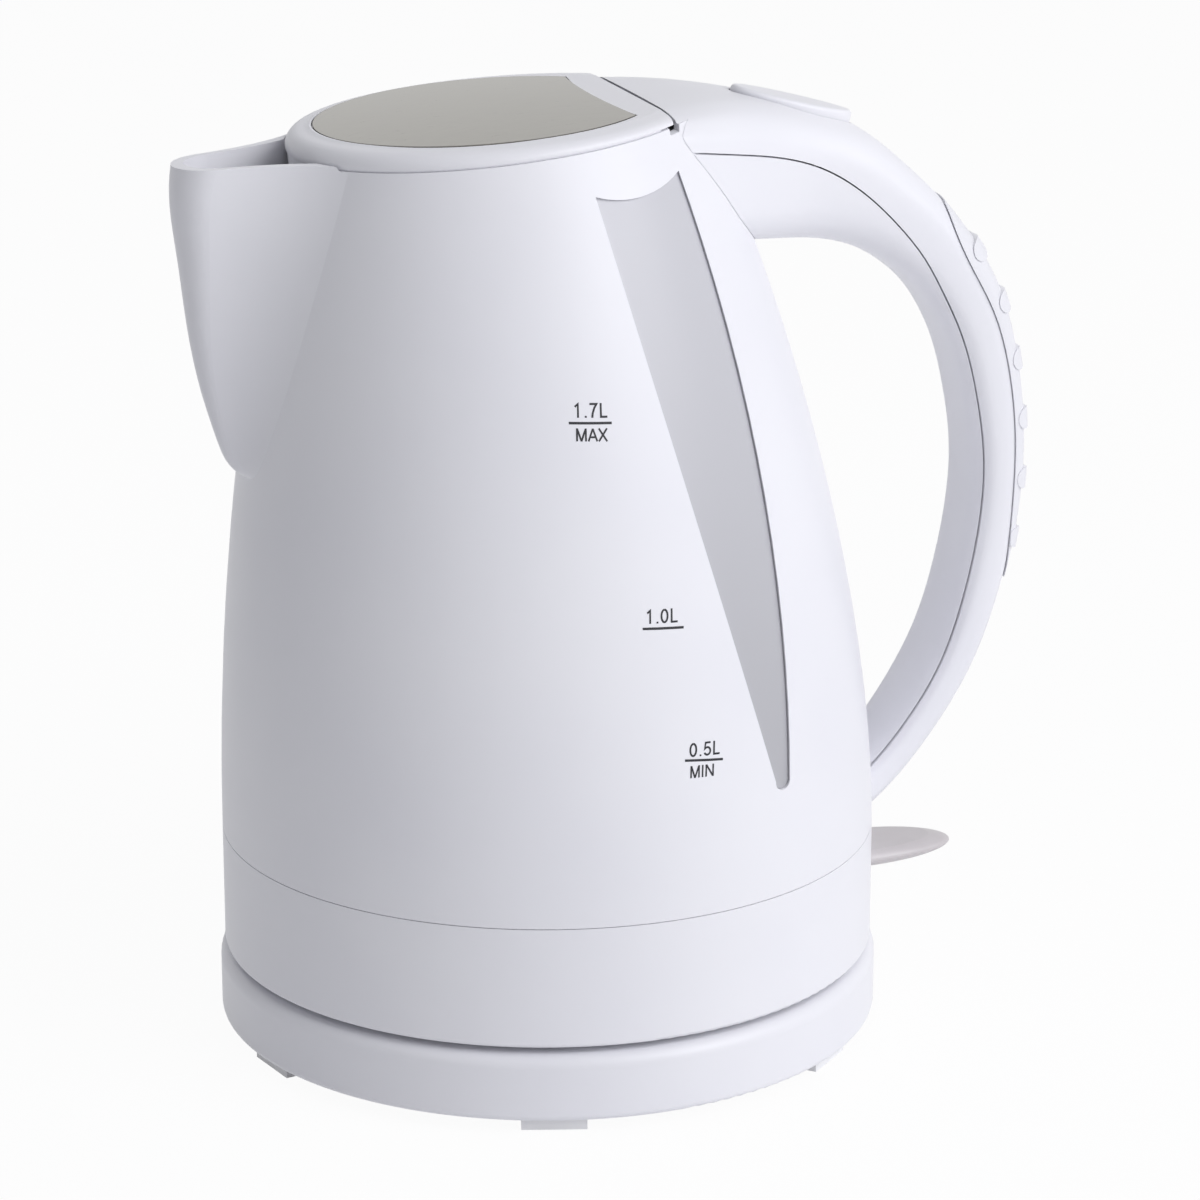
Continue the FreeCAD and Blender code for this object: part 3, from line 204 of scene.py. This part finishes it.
# Frosted translucent polypropylene of the level windows: grey, dull, lets a little light in; its darker first colour
# is painted shade at the foot of the window
frosted_polypropylene = frosted_plastic("frosted_polypropylene", "#B4B4B8", "#CDCDD2", (70, 200), 0.36)
# Silver-grey ABS of the switch, satin, with a fine spark in it
silver_abs = moulded_plastic("silver_abs", "#CBC6C7", "#D1CCCD", 0.34, 12, 0.4, 0.006)
# Black glass-filled nylon of the connector and control
black_nylon = moulded_plastic("black_nylon", "#1B1B1C", "#232324", 0.45, 20, 0.7, 0.03)
# Grey thermoplastic rubber of the feet and the cord gland
grey_rubber = moulded_plastic("grey_rubber", "#F6F6F7", "#FAFAFB", 0.6, 15, 0.5, 0.04)
# Clear silicone of the seals
silicone = moulded_plastic("silicone_seal", "#BFBFBF", "#CCCCCC", 0.4, 12, 0.5, 0.02)
# Printed ink of the level marks: dark blue-grey, matt
mark_ink = moulded_plastic("mark_ink", "#1E1E25", "#26262D", 0.55, 4, 0.3, 0.005)
# Stainless steel inlay of the lid, brushed from spout to handle, warm grey
brushed_stainless = brushed_metal("brushed_stainless", "#8A8782", "#9B9993", 0.3, 0.35, 0.006)
# Bright rolled stainless steel of the heating plate
rolled_stainless = brushed_metal("rolled_stainless", "#B9B9B8", "#CFCFCE", 0.22, 0.6, 0.004)
# Zinc-plated steel of screws, pins and springs
zinc_plate = brushed_metal("zinc_plate", "#B0B1B4", "#C6C7C9", 0.28, 0.5, 0.004)
# Cast aluminium of the heat spreader and the element sheath
cast_aluminium = brushed_metal("cast_aluminium", "#A5A6A8", "#B9BABC", 0.45, 1.5, 0.03)
# Bare brass of the contacts
bare_brass = brushed_metal("bare_brass", "#B08D4A", "#C7A45C", 0.3, 0.5, 0.004)
# Nylon gauze of the spout filter: pale threads both ways with dark gaps between them
nylon_gauze = woven_gauze("nylon_gauze", "#6E6E70", "#E6E6E6", 0.9)

FINISHES = {
    white_polypropylene: ("base_top_cover", "base_bottom_plate", "jug_body", "bottom_housing", "handle_outer",
                          "handle_inner", "lid_shell", "lid_inner", "lid_button", "hinge_bracket", "steam_tube",
                          "filter_frame"),
    white_overmould: ("handle_grip",),
    frosted_polypropylene: ("window_near", "window_far"),
    silver_abs: ("switch_lever",),
    black_nylon: ("base_connector", "kettle_connector", "control_housing", "latch_slider"),
    grey_rubber: ("base_feet", "cord_gland"),
    silicone: ("plate_seal", "lid_seal"),
    brushed_stainless: ("lid_plate",),
    rolled_stainless: ("heating_plate",),
    zinc_plate: ("base_screws", "housing_screws", "control_nuts", "overheat_discs", "steam_disc", "switch_pin",
                 "hinge_pin", "lid_springs", "button_spring"),
    cast_aluminium: ("heat_spreader", "heating_element"),
    bare_brass: ("base_contacts", "kettle_contacts"),
    nylon_gauze: ("filter_mesh",),
}
for material, names in FINISHES.items():
    for name in names:
        for slot in nodes[name].material_slots:
            slot.material = material


def finish_piece(name, mesh, material, body):
    piece = bpy.data.objects.new(name, mesh)
    scene.collection.objects.link(piece)
    mesh.materials.clear()
    mesh.materials.append(material)
    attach(piece, body)


def jug_surface():
    mesh = nodes["jug_body"].data
    return BVHTree.FromPolygons([v.co for v in mesh.vertices], [p.vertices for p in mesh.polygons])


def print_on_jug(mesh, surface):
    """Moves a flat drawing in x and z straight back onto the near side of the jug."""
    for vertex in mesh.vertices:
        start = Vector((vertex.co.x, MARK_FROM_Y, vertex.co.z))
        hit, normal = surface.ray_cast(start, Vector((0, 1, 0)))[:2]
        vertex.co = hit + normal * MARK_PROUD_MM * MM


def bow(centre, radii, start_deg, end_deg, count):
    steps = [math.radians(start_deg + (end_deg - start_deg) * i / count) for i in range(count + 1)]
    return [(centre[0] + radii[0] * math.cos(t), centre[1] + radii[1] * math.sin(t)) for t in steps]


# Plain signs in heights of a capital: how far each moves the pen on, and its strokes
SIGNS = {
    "0": (0.76, [bow((0.36, 0.5), (0.24, 0.44), 90, 450, 28)]),
    "1": (0.76, [[(0.17, 0.74), (0.39, 0.93), (0.39, 0.0)]]),
    "5": (0.76, [[(0.62, 0.94), (0.22, 0.94), (0.15, 0.49)] + bow((0.36, 0.33), (0.25, 0.27), 130, -155, 20)]),
    "7": (0.76, [[(0.10, 0.94), (0.61, 0.94), (0.44, 0.66), (0.33, 0.34), (0.28, 0.0)]]),
    ".": (0.38, [[(0.19, 0.0), (0.19, 0.13)]]),
    "L": (0.66, [[(0.16, 1.0), (0.16, 0.06), (0.64, 0.06)]]),
    "M": (1.02, [[(0.15, 0.0), (0.15, 1.0)], [(0.87, 0.0), (0.87, 1.0)], [(0.17, 0.97), (0.51, 0.0)],
                 [(0.85, 0.97), (0.51, 0.0)]]),
    "A": (0.84, [[(0.06, 0.0), (0.42, 0.98)], [(0.78, 0.0), (0.42, 0.98)], [(0.19, 0.32), (0.65, 0.32)]]),
    "X": (0.84, [[(0.08, 0.0), (0.76, 1.0)], [(0.08, 1.0), (0.76, 0.0)]]),
    "I": (0.36, [[(0.18, 0.0), (0.18, 1.0)]]),
    "N": (0.94, [[(0.15, 0.0), (0.15, 1.0)], [(0.79, 0.0), (0.79, 1.0)], [(0.17, 0.97), (0.77, 0.03)]]),
}


def pen_stroke(work, points, width):
    """A flat band of even width along a line, with mitred corners."""
    points = [Vector(p) for p in points]
    sides = []
    for i, point in enumerate(points):
        before = (point - points[i - 1]).normalized() if i else (points[1] - point).normalized()
        after = (points[i + 1] - point).normalized() if i + 1 < len(points) else before
        along = (before + after).normalized()
        normal = Vector((-along.y, along.x)) * width / 2 / max(along.dot(before), 0.5)
        sides.append([work.verts.new((*(point + normal), 0)), work.verts.new((*(point - normal), 0))])
    for (a, b), (c, d) in zip(sides, sides[1:]):
        work.faces.new((a, b, d, c))


def lettering(text, height_mm, centre):
    """Flat words in the plane of x and z, drawn sign by sign."""
    work = bmesh.new()
    pen_x = 0.0
    for sign in text:
        step, strokes = SIGNS[sign]
        for points in strokes:
            pen_stroke(work, [(pen_x + x, y) for x, y in points], PEN)
        pen_x += step
    bmesh.ops.translate(work, verts=work.verts[:], vec=(-pen_x / 2, -0.5, 0))
    bmesh.ops.scale(work, verts=work.verts[:], vec=(height_mm * MM,) * 3)
    bmesh.ops.rotate(work, verts=work.verts[:], matrix=Matrix.Rotation(math.radians(MARK_SLOPE_DEG), 3, "Z"))
    bmesh.ops.rotate(work, verts=work.verts[:], matrix=Matrix.Rotation(math.radians(90), 3, "X"))
    bmesh.ops.translate(work, verts=work.verts[:], vec=(centre[0] * MM, 0, centre[1] * MM))
    mesh = bpy.data.meshes.new("words")
    work.to_mesh(mesh)
    work.free()
    return mesh


def level_line(name, start, end):
    work = bmesh.new()
    half = LINE_WIDTH_MM / 2
    corners = [(start[0], start[1] - half), (end[0], end[1] - half),
               (end[0], end[1] + half), (start[0], start[1] + half)]
    work.faces.new([work.verts.new((x * MM, 0.0, z * MM)) for x, z in corners])
    bmesh.ops.subdivide_edges(work, edges=work.edges[:], cuts=LINE_CUTS, use_grid_fill=True)
    mesh = bpy.data.meshes.new(name)
    work.to_mesh(mesh)
    work.free()
    return mesh


surface = jug_surface()
for text, height, centre in MARK_WORDS:
    mesh = lettering(text, height, centre)
    print_on_jug(mesh, surface)
    finish_piece("mark_" + text.replace(".", "_"), mesh, mark_ink, "kettle")
for name, start, end in MARK_LINES:
    mesh = level_line(name, start, end)
    print_on_jug(mesh, surface)
    finish_piece(name, mesh, mark_ink, "kettle")


def lid_edge(name, w_range, rear_u):
    """Part of an oval band under the edge of the lid, in front of a line across it."""
    work = bmesh.new()
    inner = LIP_SIDE_R - LIP_WIDTH
    low_w, high_w = w_range
    section = ((LIP_SIDE_R, low_w), (LIP_SIDE_R, high_w), (inner, high_w), (inner, low_w))
    corners = [work.verts.new((r, 0, w)) for r, w in section]
    edges = [work.edges.new((corners[i - 1], corners[i])) for i in range(len(corners))]
    bmesh.ops.spin(work, geom=corners + edges, cent=(0, 0, 0), axis=(0, 0, 1), angle=math.radians(360),
                   steps=LIP_STEPS, use_merge=True)
    bmesh.ops.scale(work, verts=work.verts[:], vec=(LIP_LONG_R / LIP_SIDE_R, 1, 1))
    cut = bmesh.ops.bisect_plane(work, geom=work.verts[:] + work.edges[:] + work.faces[:],
                                 plane_co=(rear_u, 0, 0), plane_no=(1, 0, 0), clear_outer=True)
    bmesh.ops.edgeloop_fill(work, edges=[e for e in cut["geom_cut"] if isinstance(e, bmesh.types.BMEdge)])
    bmesh.ops.scale(work, verts=work.verts[:], vec=(MM, MM, MM))
    bmesh.ops.transform(work, matrix=NECK, verts=work.verts[:])
    bmesh.ops.recalc_face_normals(work, faces=work.faces[:])
    mesh = bpy.data.meshes.new(name)
    work.to_mesh(mesh)
    work.free()
    finish_piece(name, mesh, white_polypropylene, "lid")


# A lip stands just behind the joint line of the lid, and an apron hangs behind the mouth of the spout
lid_edge("lid_lip", (0.06, 0.5), 29.0)
lid_edge("lid_apron", (-5.0, 0.5), -44.5)


def studio():
    world = bpy.data.worlds.new("studio")
    scene.world = world
    world.use_nodes = True
    tree = world.node_tree
    tree.nodes.clear()
    seen = add(tree, "ShaderNodeLightPath")
    looked = add(tree, "ShaderNodeMath", {"operation": "MAXIMUM"},
                 links={0: seen.outputs["Is Camera Ray"], 1: seen.outputs["Is Transmission Ray"]})
    direct = add(tree, "ShaderNodeMath", {"operation": "MAXIMUM"},
                 links={0: looked.outputs[0], 1: seen.outputs["Is Glossy Ray"]})
    white = add(tree, "ShaderNodeBackground", inputs={"Color": (1, 1, 1, 1), "Strength": 1.0})
    ambient = add(tree, "ShaderNodeBackground", inputs={"Color": linear("#F4F5FA"), "Strength": 0.35})
    mixed = add(tree, "ShaderNodeMixShader", links={0: direct.outputs[0], 1: ambient.outputs[0], 2: white.outputs[0]})
    add(tree, "ShaderNodeOutputWorld", links={"Surface": mixed.outputs[0]})

    # White paper under and behind the kettle, matt and nearly as bright as the room
    material, tree, shader = new_material("white_paper_floor")[:3]
    shader.inputs["Base Color"].default_value = linear("#F7F7F8")
    shader.inputs["Roughness"].default_value = 0.9
    seen = add(tree, "ShaderNodeLightPath")
    looked = add(tree, "ShaderNodeMath", {"operation": "MAXIMUM"},
                 links={0: seen.outputs["Is Camera Ray"], 1: seen.outputs["Is Glossy Ray"]})
    share = add(tree, "ShaderNodeMath", {"operation": "MULTIPLY"}, {1: 0.95}, {0: looked.outputs[0]})
    glow = add(tree, "ShaderNodeEmission", inputs={"Color": (1, 1, 1, 1), "Strength": 1.0})
    mixed = add(tree, "ShaderNodeMixShader", links={0: share.outputs[0], 1: shader.outputs[0], 2: glow.outputs[0]})
    tree.links.new(mixed.outputs[0], tree.nodes["Material Output"].inputs["Surface"])
    work = bmesh.new()
    bmesh.ops.create_grid(work, x_segments=1, y_segments=1, size=FLOOR_HALF)
    mesh = bpy.data.meshes.new("floor")
    work.to_mesh(mesh)
    work.free()
    floor = bpy.data.objects.new("floor", mesh)
    floor.location.z = cad_box[0][2] - FLOOR_DROP
    mesh.materials.append(material)
    scene.collection.objects.link(floor)


def lamp(name, place, target, size, watts, colour):
    light = bpy.data.lights.new(name, "AREA")
    light.shape = "RECTANGLE"
    light.size, light.size_y = size
    light.energy = watts
    light.color = linear(colour)[:3]
    lamp_object = bpy.data.objects.new(name, light)
    lamp_object.location = place
    lamp_object.rotation_euler = (Vector(target) - Vector(place)).to_track_quat("-Z", "Y").to_euler()
    scene.collection.objects.link(lamp_object)


studio()
lamp("key", (0.98, -1.24, 1.1), (0.0, 0.0, 0.12), (1.3, 1.3), 21.5, "#FBFBFF")
lamp("top", (0.2, 0.1, 1.7), (0.0, 0.0, 0.2), (1.4, 1.4), 2, "#FFFFFF")

camera = bpy.data.cameras.new("camera")
camera.lens = CAMERA_LENS
camera.sensor_width = CAMERA_SENSOR
camera_object = bpy.data.objects.new("camera", camera)
camera_object.location = CAMERA_PLACE
camera_object.rotation_euler = Euler([math.radians(degrees) for degrees in CAMERA_TURN_DEG])
scene.collection.objects.link(camera_object)
scene.camera = camera_object
scene.view_settings.view_transform = "Standard"
